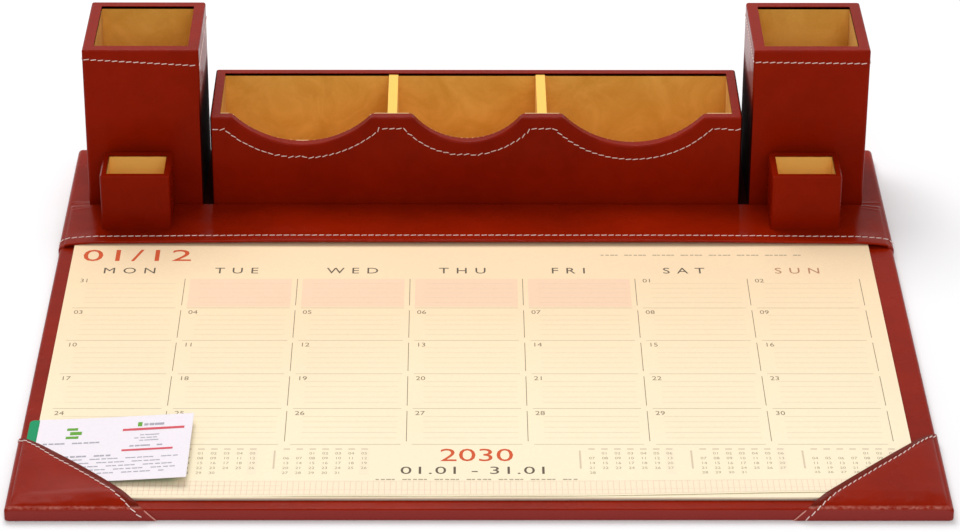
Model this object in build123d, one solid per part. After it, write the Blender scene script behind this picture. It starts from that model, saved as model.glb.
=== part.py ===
from build123d import *
import math
import os

# Desk set: a leather-covered desk blotter that holds a monthly planner pad under a
# flap at the back and under two corner pockets at the front.  Two pen cups, a tray
# with three scalloped compartments and two small clip cups stand along the back.
#
# Frame, in millimetres: X to the right, Y to the back, Z up.  The origin is the
# centre of the underside, on the desk.

os.makedirs("parts", exist_ok=True)

# ---------------------------------------------------------------- driving sizes
# Covered base
overall_width = 508.0
overall_depth = 434.5
base_height = 7.0            # desk to the top of the covered board
leather = 0.9                # covering leather
suede = 0.6                  # lining of the cups and the tray
base_corner_radius = 2.0     # in plan
base_edge_radius = 2.0       # along the top edges
turned_edge = 20.0           # covering turned under the board
underside_lining = 0.5
underside_lining_inset = 2.0
tab_width = 12.0             # pocket and flap leather glued under the edge
tab_thickness = 0.4          # pared thin there

# Pen cups
pen_cup_width = 71.1
pen_cup_depth = 72.9
pen_cup_height = 105.1
pen_cup_wall = 6.8
pen_cup_floor = 4.0
pen_cup_side_gap = 14.0      # to the side of the base
pen_cup_setback = 1.5        # behind the crease of the flap

# Tray between them
tray_gap = 5.5               # to each pen cup
tray_depth = 70.3
tray_height = 60.6
tray_wall = 6.0
tray_floor = 4.0
tray_setback = 0.2
divider_thickness = 6.0
divider_drop = 1.0           # below the rim
compartment_shares = (0.342, 0.282, 0.376)   # of the width, left to right
scallop_depths = (18.6, 16.8, 19.4)
scallop_shoulder_radius = 4.0
end_land_left = 13.3         # level rim at the ends of the front panel
end_land_right = 23.5
divider_land = 12.5          # level rim on each side of a divider

# Clip cups on the flap
clip_cup_width = 42.4
clip_cup_depth = 33.7
clip_cup_height = 36.2
clip_cup_wall = 3.6
clip_cup_floor = 2.4
clip_cup_inset_left = 11.2   # from the outer side of the pen cup behind it
clip_cup_inset_right = 17.7
clip_cup_front_gap = 18.0    # to the free edge of the flap
clip_cup_back_gap = 3.1      # to the crease

# Rims
rim_turn_in = 1.6            # leather turned over the rim, above the lining
box_corner_radius = 1.7      # upright corners
box_rim_radius = 1.3         # outer edge of the rim
clip_cup_rim_chamfer = 0.9   # the small cups' rim is cut at an angle instead

# Deck and flap
rear_margin = 5.8            # deck behind the pen cups
flap_ramp = 3.3              # run of the rise from the deck to the flap
flap_backing = 0.5
flap_backing_inset = 1.0
flap_clearance = 0.15        # over the planner
flap_side_rise = 5.5         # run of the rise beside the planner

# Planner pad
planner_backing_board = 0.8
planner_sheet_stack = 1.1
planner_top_sheet = 0.1
planner_gum = 0.5
planner_margin_left = 10.1   # base showing beside the pad
planner_margin_right = 15.9
planner_margin_front = 10.2
planner_tuck = 37.4          # under the flap
planner_top_sheet_short = 1.0

# Corner pockets
pocket_legs = {"left": 75.5, "right": 80.0}   # along the side and the front
pocket_slot_clearance = 0.4
pocket_side_run = 4.4        # from the side of the base to the pocket's full height
pocket_front_run = 7.7
pocket_rise_thickness = 0.6  # leather where it climbs, measured level

# Cards tucked into the left pocket
card_length = 86.0
card_width = 67.5
card_thickness = 0.3
card_lift = 4.9              # rise of the free end
card_flat = 39.0             # length that lies flat, under the pocket
card_corner_radius = 4.0     # of the coloured card behind
card_gap = 0.05              # to the pad and to each other
note_card_from_left = 10.8
back_card_from_left = 5.2
card_from_front = 23.1

# ---------------------------------------------------------------- worked out
half_width = overall_width / 2
half_depth = overall_depth / 2
deck_top = base_height + leather

deck_depth = rear_margin + max(
    pen_cup_setback + pen_cup_depth, tray_setback + tray_depth
)
crease_y = half_depth - deck_depth
flap_depth = clip_cup_front_gap + clip_cup_depth + clip_cup_back_gap
flap_front_y = crease_y - flap_depth

planner_thickness = planner_backing_board + planner_sheet_stack + planner_top_sheet
planner_top = base_height + planner_thickness
planner_left_x = -half_width + planner_margin_left
planner_right_x = half_width - planner_margin_right
planner_front_y = -half_depth + planner_margin_front
planner_rear_y = flap_front_y + planner_tuck

flap_backing_z = planner_top + flap_clearance
flap_leather_z = flap_backing_z + flap_backing
flap_top = flap_leather_z + leather
flap_level_x = half_width - min(planner_margin_left, planner_margin_right) + 0.3

pocket_underside = planner_top + 2 * (card_thickness + card_gap) + pocket_slot_clearance
pocket_top = pocket_underside + leather

tray_width = overall_width - 2 * (pen_cup_side_gap + pen_cup_width + tray_gap)

near = 0.01                  # closer than this, two places are the same


# ---------------------------------------------------------------- helpers
def block(x0, x1, y0, y1, z0, z1):
    """A box between two corners."""
    size = (x1 - x0, y1 - y0, z1 - z0)
    return Pos((x0 + x1) / 2, (y0 + y1) / 2, (z0 + z1) / 2) * Box(*size)


def upright_edges(solid):
    return solid.edges().filter_by(Axis.Z)


def top_edges(solid):
    return solid.edges().group_by(Axis.Z)[-1]


def pillow(inset, z0, z1, corner_radius, edge_radius):
    """The outline of the base, in from the overall size, with rounded top edges."""
    solid = block(
        -half_width + inset, half_width - inset, -half_depth + inset, half_depth - inset, z0, z1
    )
    solid = fillet(upright_edges(solid), corner_radius)
    return fillet(top_edges(solid), edge_radius)


def upright_face(points):
    """A face in the XZ plane from straight edges."""
    return make_face(Polyline(*[(x, 0, z) for x, z in points], close=True))


def corner_triangle(x_out, y_out, leg):
    """The triangle in plan that a pocket covers, at the right front corner."""
    return make_face(
        Polyline((x_out, y_out), (x_out, y_out + leg), (x_out - leg, y_out), close=True)
    )


# ---------------------------------------------------------------- base
def corner_tabs(side):
    """The pared tabs of a pocket, under the board at one front corner."""
    leg = pocket_legs[side]
    z0, z1 = underside_lining, underside_lining + tab_thickness
    x_out = half_width - leather
    y_out = -half_depth + leather
    along_side = block(x_out - tab_width, x_out, y_out, y_out + leg, z0, z1)
    along_front = block(x_out - leg, x_out, y_out, y_out + tab_width, z0, z1)
    tabs = along_side + along_front
    tabs &= extrude(Plane.XY.offset(z0 - 1) * corner_triangle(x_out, y_out, leg), 3)
    return tabs if side == "right" else mirror(tabs, Plane.YZ)


def flap_tabs():
    """The pared tabs of the flap leather, under the sides and the back of the board."""
    z0, z1 = underside_lining, underside_lining + tab_thickness
    x_out, y_out = half_width - leather, half_depth - leather
    left = block(-x_out, -x_out + tab_width, flap_front_y, y_out, z0, z1)
    right = block(x_out - tab_width, x_out, flap_front_y, y_out, z0, z1)
    back = block(-x_out, x_out, y_out - tab_width, y_out, z0, z1)
    return left + right + back


def make_base():
    cover = pillow(leather, underside_lining, base_height, base_corner_radius, base_edge_radius)
    board = pillow(
        2 * leather,
        underside_lining + leather,
        base_height - leather,
        base_corner_radius - leather,
        base_edge_radius - leather,
    )
    window_x = half_width - leather - turned_edge
    window_y = half_depth - leather - turned_edge
    window = block(
        -window_x, window_x, -window_y, window_y, underside_lining, underside_lining + leather
    )
    cover = cover - board - window
    for tabs in (corner_tabs("left"), corner_tabs("right"), flap_tabs()):
        cover -= tabs
    lining_x = half_width - leather - underside_lining_inset
    lining_y = half_depth - leather - underside_lining_inset
    lining = block(-lining_x, lining_x, -lining_y, lining_y, 0, underside_lining) + window
    return {"base_board": board, "base_cover": cover, "base_lining": lining}


# ---------------------------------------------------------------- flap
def sheet_section(y, z_level, rise_run):
    """The flap's section across the desk at depth y: level over the planner, falling
    to the base at both sides.  z_level is its underside over the planner."""
    x_foot = flap_level_x + rise_run
    under = [
        (-x_foot, base_height),
        (-flap_level_x, z_level),
        (flap_level_x, z_level),
        (x_foot, base_height),
    ]
    over = [(x, z + leather) for x, z in reversed(under)]
    return Pos(0, y, 0) * upright_face(under + over)


def make_flap():
    outer = pillow(
        0, underside_lining, deck_top, base_corner_radius + leather, base_edge_radius + leather
    )
    inner = pillow(leather, -1, base_height, base_corner_radius, base_edge_radius)
    wrap = outer - inner
    wrap &= block(-half_width, half_width, flap_front_y, half_depth, 0, deck_top)
    x_foot = flap_level_x + flap_side_rise
    wrap -= block(-x_foot, x_foot, flap_front_y, crease_y, base_height, deck_top)
    level_y = crease_y - flap_ramp
    level = extrude(
        sheet_section(flap_front_y, flap_leather_z, flap_side_rise),
        amount=level_y - flap_front_y,
        dir=(0, 1, 0),
    )
    ramp = loft(
        [
            sheet_section(level_y, flap_leather_z, flap_side_rise),
            sheet_section(crease_y, base_height, flap_side_rise),
        ],
        ruled=True,
    )
    cover = wrap + level + ramp + flap_tabs()
    backing = block(
        -flap_level_x + flap_backing_inset,
        flap_level_x - flap_backing_inset,
        flap_front_y + flap_backing_inset,
        level_y,
        flap_backing_z,
        flap_leather_z,
    )
    return {"flap_cover": cover, "flap_backing": backing}


# ---------------------------------------------------------------- corner pockets
def pocket_mask(leg):
    """The space that the right pocket fills: a triangle in plan, whose cut edge runs
    on down the side and the front at the same slant."""
    x_out, y_out = half_width, -half_depth
    mask = extrude(corner_triangle(x_out, y_out, leg), pocket_top + 1)
    skirt = upright_face(
        [(x_out, 0), (x_out, deck_top), (x_out - leg, deck_top), (x_out - leg - deck_top, 0)]
    )
    front = Pos(0, y_out, 0) * extrude(skirt, amount=leather, dir=(0, 1, 0))
    flank = Pos(x_out, y_out, 0) * Rot(0, 0, -90) * Pos(-x_out, 0, 0) * extrude(
        skirt, amount=leather, dir=(0, 1, 0)
    )
    return mask + front + flank


def pocket_rise(edge_z, top_z, thickness):
    """Where the pockets climb from the edges of the base to their full height."""
    foot = base_edge_radius + leather
    side, front = pocket_side_run + thickness, pocket_front_run + thickness
    return loft(
        [
            Pos(0, 0, edge_z) * Rectangle(overall_width - 2 * foot, overall_depth - 2 * foot),
            Pos(0, 0, top_z) * Rectangle(overall_width - 2 * side, overall_depth - 2 * front),
        ],
        ruled=True,
    )


def make_pockets():
    outer = pillow(
        0, underside_lining, deck_top, base_corner_radius + leather, base_edge_radius + leather
    )
    outer += pocket_rise(deck_top, pocket_top, 0)
    inner = pillow(leather, -1, base_height, base_corner_radius, base_edge_radius)
    inner += pocket_rise(base_height, pocket_underside, pocket_rise_thickness)
    wrap = outer - inner
    parts = {}
    for side, leg in pocket_legs.items():
        pocket = wrap & pocket_mask(leg)
        if side == "left":
            pocket = mirror(pocket, Plane.YZ)
        parts[f"corner_pocket_{side}"] = pocket + corner_tabs(side)
    return parts


# ---------------------------------------------------------------- planner and cards
def make_planner():
    x0, x1 = planner_left_x, planner_right_x
    y0, y1 = planner_front_y, planner_rear_y - planner_gum
    z1 = base_height + planner_backing_board
    z2 = z1 + planner_sheet_stack
    return {
        "planner_backing": block(x0, x1, y0, y1, base_height, z1),
        "planner_sheets": block(x0, x1, y0, y1, z1, z2),
        "planner_top_sheet": block(x0, x1, y0 + planner_top_sheet_short, y1, z2, planner_top),
        "planner_gum_edge": block(x0, x1, y1, planner_rear_y, base_height, planner_top),
    }


def bent_card(x0, layer):
    """A card of the pair: flat under the pocket, then curving up to its free end.
    Both cards bend from one line about one centre, so that they lie on each other."""
    step = card_thickness + card_gap
    z0 = planner_top + card_gap
    bend_x = -half_width + note_card_from_left + card_flat
    run = card_length - card_flat
    radius = run * run / (2 * card_lift)
    plane = Plane(origin=(bend_x, 0, z0 + radius), x_dir=(1, 0, 0), z_dir=(0, -1, 0))
    under_radius = radius - layer * step
    sweep_angle = math.degrees((x0 + card_length - bend_x) / under_radius)
    under = plane * CenterArc((0, 0), under_radius, -90, sweep_angle)
    over = plane * CenterArc((0, 0), under_radius - card_thickness, -90, sweep_angle)
    low = (x0, 0, z0 + layer * step)
    high = (x0, 0, z0 + layer * step + card_thickness)
    edges = [
        Line(low, under @ 0),
        under,
        Line(under @ 1, over @ 1),
        over,
        Line(over @ 0, high),
        Line(high, low),
    ]
    y0 = -half_depth + card_from_front
    return Pos(0, y0, 0) * extrude(make_face(Curve() + edges), amount=card_width, dir=(0, 1, 0))


def make_cards():
    back = bent_card(-half_width + back_card_from_left, layer=0)
    corners = upright_edges(back).sort_by(Axis.X)[:2]
    back = fillet(corners, card_corner_radius)
    return {"back_card": back, "note_card": bent_card(-half_width + note_card_from_left, layer=1)}


# ---------------------------------------------------------------- covered boxes
def box_panels(name, x0, y0, z0, width, depth, height, wall, floor):
    """The board panels of a covered box, butted together, its floor between them."""
    x1, y1 = x0 + width, y0 + depth
    board = wall - leather - suede
    top = z0 + height - leather
    ox0, ox1, oy0, oy1 = x0 + leather, x1 - leather, y0 + leather, y1 - leather
    ix0, ix1, iy0, iy1 = ox0 + board, ox1 - board, oy0 + board, oy1 - board
    return {
        f"{name}_front_panel": block(ox0, ox1, oy0, iy0, z0, top),
        f"{name}_back_panel": block(ox0, ox1, iy1, oy1, z0, top),
        f"{name}_left_panel": block(ox0, ix0, iy0, iy1, z0, top),
        f"{name}_right_panel": block(ix1, ox1, iy0, iy1, z0, top),
        f"{name}_floor_panel": block(ix0, ix1, iy0, iy1, z0, z0 + floor),
    }


def box_lining(x0, y0, z0, width, depth, height, wall, floor):
    """The suede inside a covered box: a floor and four walls up to the rim's turn-in."""
    x1, y1 = x0 + width, y0 + depth
    board = wall - suede
    z1 = z0 + height - rim_turn_in
    bag = block(x0 + board, x1 - board, y0 + board, y1 - board, z0 + floor, z1)
    room = block(x0 + wall, x1 - wall, y0 + wall, y1 - wall, z0 + floor + suede, z1)
    return bag - room


def box_outer(x0, y0, z0, width, depth, height):
    """The outside of a covered box, with soft corners and a soft rim."""
    solid = block(x0, x0 + width, y0, y0 + depth, z0, z0 + height)
    solid = fillet(upright_edges(solid), box_corner_radius)
    if width <= clip_cup_width:
        return chamfer(top_edges(solid), clip_cup_rim_chamfer)
    return fillet(top_edges(solid), box_rim_radius)


def make_cup(name, x0, y0, z0, width, depth, height, wall, floor):
    """A square cup: five board panels, a suede lining and a leather cover."""
    sizes = (x0, y0, z0, width, depth, height, wall, floor)
    parts = box_panels(name, *sizes)
    lining = box_lining(*sizes)
    cover = box_outer(*sizes[:6])
    cover -= block(
        x0 + wall, x0 + width - wall, y0 + wall, y0 + depth - wall, z0 + floor, z0 + height
    )
    for piece in [*parts.values(), lining]:
        cover -= piece
    parts[f"{name}_lining"] = lining
    parts[f"{name}_cover"] = cover
    return parts


# ---------------------------------------------------------------- tray
def divider_places():
    """The X of each divider's middle."""
    left = -tray_width / 2
    return (
        left + compartment_shares[0] * tray_width,
        left + (compartment_shares[0] + compartment_shares[1]) * tray_width,
    )


def scallop_circles():
    """The middle, its height above the rim and the radius of each scallop's arc."""
    first, second = divider_places()
    spans = (
        (-tray_width / 2 + end_land_left, first - divider_land),
        (first + divider_land, second - divider_land),
        (second + divider_land, tray_width / 2 - end_land_right),
    )
    circles = []
    for (start, end), depth in zip(spans, scallop_depths):
        half = (end - start) / 2
        radius = (half * half + depth * depth) / (2 * depth)
        circles.append(((start + end) / 2, radius - depth, radius))
    return circles


def scalloped_slab(x0, x1, y0, y1, z0, drop):
    """A slab of the front panel whose scalloped rim is parallel to the real one,
    lower by drop."""
    rim = deck_top + tray_height
    outline = Rectangle(x1 - x0, rim - drop - z0, align=(Align.MIN, Align.MIN))
    outline = Pos(x0, z0) * outline
    for middle, above, radius in scallop_circles():
        outline -= Pos(middle, rim + above) * Circle(radius + drop)
    corners = [
        v
        for v in outline.vertices()
        if abs(v.Y - rim + drop) < near and x0 + near < v.X < x1 - near
    ]
    outline = fillet(corners, scallop_shoulder_radius - drop)
    solid = extrude(Plane.XZ * outline, amount=-(y1 - y0))
    return Pos(0, y0, 0) * solid


def outer_rim_edges(solid, x0, x1, y0, y1, rim):
    """The outer edges of the tray's rim: level at the back and the sides, and along
    the scallops at the front."""
    edge_zone = box_corner_radius + near
    level = top_edges(solid).filter_by(
        lambda e: e.center().X < x0 + edge_zone
        or e.center().X > x1 - edge_zone
        or e.center().Y > y1 - edge_zone
    )
    scalloped = solid.edges().filter_by(
        lambda e: abs(e.center().Y - y0) < near
        and rim - e.center().Z < max(scallop_depths) + near
    )
    return level + scalloped.filter_by(lambda e: e not in level)


def make_tray():
    """The tray: a scalloped front panel, two dividers, and the cover and linings."""
    x0, y0, z0 = -tray_width / 2, crease_y + tray_setback, deck_top
    x1, y1 = x0 + tray_width, y0 + tray_depth
    sizes = (x0, y0, z0, tray_width, tray_depth, tray_height, tray_wall, tray_floor)
    parts = box_panels("tray", *sizes)
    rim = z0 + tray_height

    board_y = y0 + leather
    lining_y = y0 + tray_wall - suede
    inner_y = y0 + tray_wall
    parts["tray_front_panel"] = scalloped_slab(
        x0 + leather, x1 - leather, board_y, lining_y, z0, leather
    )

    lining = box_lining(*sizes)
    lining -= block(x0, x1, lining_y, inner_y, z0 + tray_floor, rim)
    lining += scalloped_slab(
        x0 + tray_wall - suede, x1 - tray_wall + suede, lining_y, inner_y, z0 + tray_floor, rim_turn_in
    )

    cover = fillet(upright_edges(block(x0, x1, y0, y1, z0, rim)), box_corner_radius)
    cover -= block(x0, x1, y0, inner_y, z0 + tray_height / 2, rim) - scalloped_slab(
        x0, x1, y0, inner_y, z0, 0
    )
    cover = fillet(outer_rim_edges(cover, x0, x1, y0, y1, rim), box_rim_radius)
    cover -= block(
        x0 + tray_wall, x1 - tray_wall, inner_y, y1 - tray_wall, z0 + tray_floor, rim
    )
    for piece in [*parts.values(), lining]:
        cover -= piece

    core = divider_thickness - 2 * suede
    divider_top = rim - divider_drop
    for side, middle in zip(("left", "right"), divider_places()):
        wrap = block(
            middle - divider_thickness / 2,
            middle + divider_thickness / 2,
            inner_y,
            y1 - tray_wall,
            z0 + tray_floor + suede,
            divider_top,
        )
        board = block(
            middle - core / 2,
            middle + core / 2,
            inner_y,
            y1 - tray_wall,
            z0 + tray_floor + suede,
            divider_top - suede,
        )
        wrap -= board
        wrap = fillet(top_edges(wrap).filter_by(Axis.Y), suede * 0.8)
        parts[f"tray_divider_{side}_board"] = board
        parts[f"tray_divider_{side}_suede"] = wrap
    parts["tray_lining"] = lining
    parts["tray_cover"] = cover
    return parts


# ---------------------------------------------------------------- the whole set
def make_cups():
    parts = {}
    pen_y = crease_y + pen_cup_setback
    clip_y = flap_front_y + clip_cup_front_gap
    pen_left = -half_width + pen_cup_side_gap
    pen_right = half_width - pen_cup_side_gap - pen_cup_width
    clip_left = pen_left + clip_cup_inset_left
    clip_right = pen_right + pen_cup_width - clip_cup_inset_right - clip_cup_width
    pen = (pen_cup_width, pen_cup_depth, pen_cup_height, pen_cup_wall, pen_cup_floor)
    clip = (clip_cup_width, clip_cup_depth, clip_cup_height, clip_cup_wall, clip_cup_floor)
    parts.update(make_cup("pen_cup_left", pen_left, pen_y, deck_top, *pen))
    parts.update(make_cup("pen_cup_right", pen_right, pen_y, deck_top, *pen))
    parts.update(make_cup("clip_cup_left", clip_left, clip_y, flap_top, *clip))
    parts.update(make_cup("clip_cup_right", clip_right, clip_y, flap_top, *clip))
    return parts


nodes = {}
for group in (make_base, make_flap, make_pockets, make_planner, make_cards, make_tray, make_cups):
    nodes.update(group())

for name, shape in nodes.items():
    export_step(shape, f"parts/{name}.step")
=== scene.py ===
"""Desk set with a planner pad: the leather, suede, paper and thread around its boards.

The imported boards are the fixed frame.  Leather that folds or drapes, the printed
sheet, the cards and the stitching are modelled here, each on the body it belongs to.
"""

import math

import bpy
from mathutils import Matrix, Vector, noise


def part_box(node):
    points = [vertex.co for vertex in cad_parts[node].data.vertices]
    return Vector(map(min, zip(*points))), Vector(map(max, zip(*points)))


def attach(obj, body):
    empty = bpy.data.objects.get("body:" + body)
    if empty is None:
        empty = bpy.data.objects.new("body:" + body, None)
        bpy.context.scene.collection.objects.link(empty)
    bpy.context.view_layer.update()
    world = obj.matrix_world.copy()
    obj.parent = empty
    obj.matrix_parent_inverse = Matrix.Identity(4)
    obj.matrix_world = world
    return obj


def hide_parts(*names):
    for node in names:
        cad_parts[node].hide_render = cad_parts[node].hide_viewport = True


bl_info = {
    "name": "Desk set with planner pad",
    "version": (1, 0, 0),
    "blender": (4, 5, 0),
    "location": "3D View > Sidebar > Desk set",
    "description": "Covers, lines, stitches and prints a leather desk set",
    "category": "Object",
}

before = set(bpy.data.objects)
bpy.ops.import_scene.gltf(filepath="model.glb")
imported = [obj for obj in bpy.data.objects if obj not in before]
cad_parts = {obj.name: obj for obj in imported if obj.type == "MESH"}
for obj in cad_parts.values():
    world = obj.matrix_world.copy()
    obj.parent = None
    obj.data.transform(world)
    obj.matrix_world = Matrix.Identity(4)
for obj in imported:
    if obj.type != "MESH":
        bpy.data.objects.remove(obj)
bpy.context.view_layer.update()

MM = 0.001
ROOT, PLANNER, CARDS = "desk_set", "planner", "cards"
CUPS = ("pen_cup_left", "pen_cup_right", "clip_cup_left", "clip_cup_right")
BOXES = CUPS + ("tray",)


def span(node, axis):
    """The lowest and highest value of a board along one axis, in metres."""
    low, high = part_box(node)
    return low[axis], high[axis]


# Places that the modelled pieces share, from the boards
BASE_HALF_X = span("flap_cover", 0)[1]
BASE_HALF_Y = span("flap_cover", 1)[1]
FLAP_FRONT = span("flap_cover", 1)[0]
FLAP_TOP = span("clip_cup_left_cover", 2)[0]
DECK_TOP = span("tray_cover", 2)[0]
CREASE = span("tray_cover", 1)[0] - 0.2 * MM
PAD_LEFT, PAD_RIGHT = span("planner_sheets", 0)
PAD_FRONT = span("planner_sheets", 1)[0]
PAD_REAR = span("planner_gum_edge", 1)[1]
PAD_TOP = span("planner_top_sheet", 2)[1]
PAGE_FRONT = span("planner_top_sheet", 1)[0]
TRAY_TOP = span("tray_cover", 2)[1]
GAP_X = (span("tray_cover", 0)[1] + span("pen_cup_right_cover", 0)[0]) / 2
POCKET_TOP = span("corner_pocket_right", 2)[1]
POCKET_SPREAD = 7.4 * MM  # how much further a pocket reaches at its foot than on top
LEG = {
    "left": BASE_HALF_X + span("corner_pocket_left", 0)[1] - POCKET_SPREAD,
    "right": BASE_HALF_X - span("corner_pocket_right", 0)[0] - POCKET_SPREAD,
}
LINING = 0.6 * MM  # thickness of the suede in the boxes
CARD_LEFT, CARD_RIGHT = span("note_card", 0)
CARD_FRONT, CARD_REAR = span("note_card", 1)
BACK_CARD_LEFT = span("back_card", 0)[0]
BACK_CARD_LOW = span("back_card", 2)[0]

# The leathers: depth of the wrinkles, how strong the painted highlight on the front ridge is,
# whether it covers a box, and which pocket it is
LEATHER_KINDS = {
    "smooth": (0.35, 0.0, True, None),
    "base": (0.4, 0.0, False, None),
    "soft": (0.8, 0.0, False, None),
    "left": (0.8, 0.5, False, "left"),
    "right": (0.8, 0.6, False, "right"),
}

# From a pen cup's rim down to its seam at the cup's right and left side, in millimetres
SEAM_DROP = {"left": (10.2, 5.9), "right": (8.5, 7.6)}

FIGURE_SHARE = 0.7  # height of a figure as a share of its type's size

# The printed month
WEEKS = 5
DAY_NAMES = ("MON", "TUE", "WED", "THU", "FRI", "SAT", "SUN")
DAYS = len(DAY_NAMES)
TINTED = range(1, 5)  # columns of the first week that are tinted and have no number
# Left side in millimetres, first weekday and number of days of each small month
SMALL_MONTHS = ((-168, 2, 30), (-107, 2, 31), (60, 1, 28), (121, 1, 31), (182, 4, 30))
# Start, end and distance from the middle, in millimetres, of the two lines of dashes
DASH_LINES = ((-56, 54, -188.8), (75, 197, 69.5))

# What is printed on the card, from its left and rear edges, in millimetres
CARD_BARS = ((47, 81, 13.4, 15.8), (48, 76, 35.4, 37.4))
CARD_MARK = (
    (16, 22, 10.4, 13), (18, 24.5, 14.4, 17.8), (16, 23, 19.2, 21.8), (55, 57.4, 7.0, 11.5),
)
# Start, end, distance from the rear and thickness of each row of dashes
CARD_ROWS = (
    (4, 36, 26.0, 1.4), (17, 43, 40.2, 1.6), (15, 80, 44.0, 1.0), (19, 74, 47.8, 1.0),
    (24, 81, 51.6, 1.0), (28, 79, 55.2, 1.0), (33, 73, 58.8, 1.0), (58.5, 73, 8.6, 2.4),
    (57, 68, 20.4, 0.9), (54, 71, 23.4, 0.9), (57, 68, 26.2, 0.9), (52, 70, 31.4, 1.5),
)


# ------------------------------------------------------------------ settings
def colour(name, description, default):
    return bpy.props.FloatVectorProperty(
        name=name, description=description, default=default, size=3, min=0, max=1, subtype="COLOR"
    )


def size(name, description, millimetres):
    return bpy.props.FloatProperty(
        name=name, description=description, default=millimetres * MM, unit="LENGTH", precision=5
    )


def amount(name, description, default):
    return bpy.props.FloatProperty(name=name, description=description, default=default)


class LeatherSettings(bpy.types.PropertyGroup):
    tone: colour("Leather", "Colour of the covering leather", (0.262, 0.0095, 0.0005))
    deep: colour("Shade", "Colour of the leather's darker clouds", (0.140, 0.0040, 0.0003))
    roughness: amount("Roughness", "How dull the leather's surface is", 0.25)
    thickness: size("Thickness", "Thickness of the folded leather", 0.65)
    hem_radius: size("Hem radius", "Half the thickness of a folded edge", 0.7)
    hem_return: size("Hem return", "Leather turned under at a folded edge", 4.0)
    edge_radius: size("Edge radius", "Roundness where leather goes over the edge", 2.9)
    hang: size("Hang", "How near the desk the leather on the sides ends", 0.6)
    puff: size("Puff", "How far the middle of the flap's free edge stands up", 1.9)
    bulge_left: size("Left bulge", "Rise of the left pocket's cut edge over the card", 2.1)
    bulge_right: size("Right bulge", "Rise of the right pocket's cut edge", 0.8)


class SuedeSettings(bpy.types.PropertyGroup):
    tone: colour("Suede", "Colour of the suede lining", (0.70, 0.35, 0.053))
    light: colour("Brushed", "Colour of the suede where it is brushed", (0.86, 0.49, 0.105))
    edge: colour("Cut edge", "Colour of the suede's cut edge", (1.0, 0.72, 0.38))
    # painted light: a lighter copy of the suede colour, for the suede pieces and the clip cups'
    # linings, standing in for light that the deep cups don't get
    bright: colour("Bright suede", "Colour of the suede that faces the light", (1.0, 0.60, 0.14))
    edge_height: size("Edge height", "Height of the cut edge that shows", 1.5)
    edge_proud: size("Edge proud", "How far the cut edge stands off the wall", 0.3)


class ThreadSettings(bpy.types.PropertyGroup):
    tone: colour("Thread", "Colour of the sewing thread", (0.93, 0.74, 0.68))
    pitch: size("Pitch", "Distance from one stitch to the next", 4.3)
    length: size("Stitch", "Length of a stitch", 3.5)
    radius: size("Radius", "Half the thickness of the thread", 0.32)
    slant: bpy.props.FloatProperty(
        name="Slant", description="Turn of each stitch out of the seam", default=math.radians(10),
        subtype="ANGLE",
    )
    flap_inset: size("Flap seam", "From the flap's free edge to its seam", 8.0)
    pocket_inset: size("Pocket seam", "From a pocket's cut edge to its seam", 4.3)
    tray_inset: size("Tray seam", "From the tray's rim to its seam", 7.5)


class PaperSettings(bpy.types.PropertyGroup):
    top: colour("Paper at the top", "Colour of the sheet at its rear edge", (0.95, 0.72, 0.46))
    bottom: colour("Paper at the bottom", "Colour of the sheet at its front", (0.97, 0.86, 0.62))
    tint: colour("Tint", "Colour of the tinted fields", (0.94, 0.66, 0.46))
    pale: colour("Pale tint", "Colour of the squared band and the small tints", (0.97, 0.83, 0.61))
    line: colour("Upright lines", "Colour of the fields' upright borders", (0.26, 0.20, 0.13))
    level: colour("Level lines", "Colour of the fields' level borders", (0.44, 0.36, 0.24))
    rest: colour("Last day", "Colour of the last day's heading", (0.50, 0.24, 0.14))
    rule: colour("Rules", "Colour of the writing lines", (0.72, 0.58, 0.42))
    grid: colour("Grid", "Colour of the squared band", (0.90, 0.68, 0.50))
    figure: colour("Figures", "Colour of the day numbers", (0.13, 0.10, 0.07))
    accent: colour("Accent", "Colour of the large numbers", (0.66, 0.10, 0.03))
    lift: size("Lift", "Height of the print over the sheet", 0.04)
    row: size("Row", "Depth of a week's row", 38.84)
    column: size("Column", "Width of a day's column", 67.05)
    first_row: size("First row", "From the flap to the first week", 40.0)
    first_column: size("First column", "From the middle of the set to the first day", -241.0)


class CardSettings(bpy.types.PropertyGroup):
    tone: colour("Card", "Colour of the white card", (0.90, 0.84, 0.89))
    back: colour("Back card", "Colour of the card behind it", (0.0, 0.28, 0.11))
    bar: colour("Bars", "Colour of the bars on the card", (0.70, 0.10, 0.13))
    mark: colour("Mark", "Colour of the mark on the card", (0.14, 0.38, 0.04))
    line: colour("Card lines", "Colour of the lines on the card", (0.42, 0.40, 0.46))
    rise: size("Rise", "Height of the card's free end over its other end", 4.6)
    thickness: size("Card thickness", "Thickness of a card", 0.3)


class StageSettings(bpy.types.PropertyGroup):
    camera_place: bpy.props.FloatVectorProperty(
        name="Camera", description="Place of the camera", size=3, subtype="TRANSLATION",
        unit="LENGTH", default=(-0.01324, -1.83615, 1.02165),
    )
    pitch: bpy.props.FloatProperty(
        name="Pitch", description="How far the camera looks down", subtype="ANGLE",
        default=math.radians(28.15),
    )
    yaw: bpy.props.FloatProperty(
        name="Yaw", description="How far the camera looks to the right", subtype="ANGLE",
        default=math.radians(0.46),
    )
    roll: bpy.props.FloatProperty(
        name="Roll", description="Tilt of the camera about its view", subtype="ANGLE",
        default=math.radians(0.23),
    )
    lens: amount("Lens", "Focal length in millimetres on a 36 mm sensor", 133.94)
    sky: amount("Sky", "Strength of the light from all round", 0.45)
    key: amount("Key", "Power of the large lamp over the set, in watts", 26.5)
    fill: amount("Fill", "Power of the lamp in front, in watts", 12.5)


class DeskSetSettings(bpy.types.PropertyGroup):
    leather: bpy.props.PointerProperty(type=LeatherSettings)
    suede: bpy.props.PointerProperty(type=SuedeSettings)
    thread: bpy.props.PointerProperty(type=ThreadSettings)
    paper: bpy.props.PointerProperty(type=PaperSettings)
    card: bpy.props.PointerProperty(type=CardSettings)
    stage: bpy.props.PointerProperty(type=StageSettings)


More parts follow.
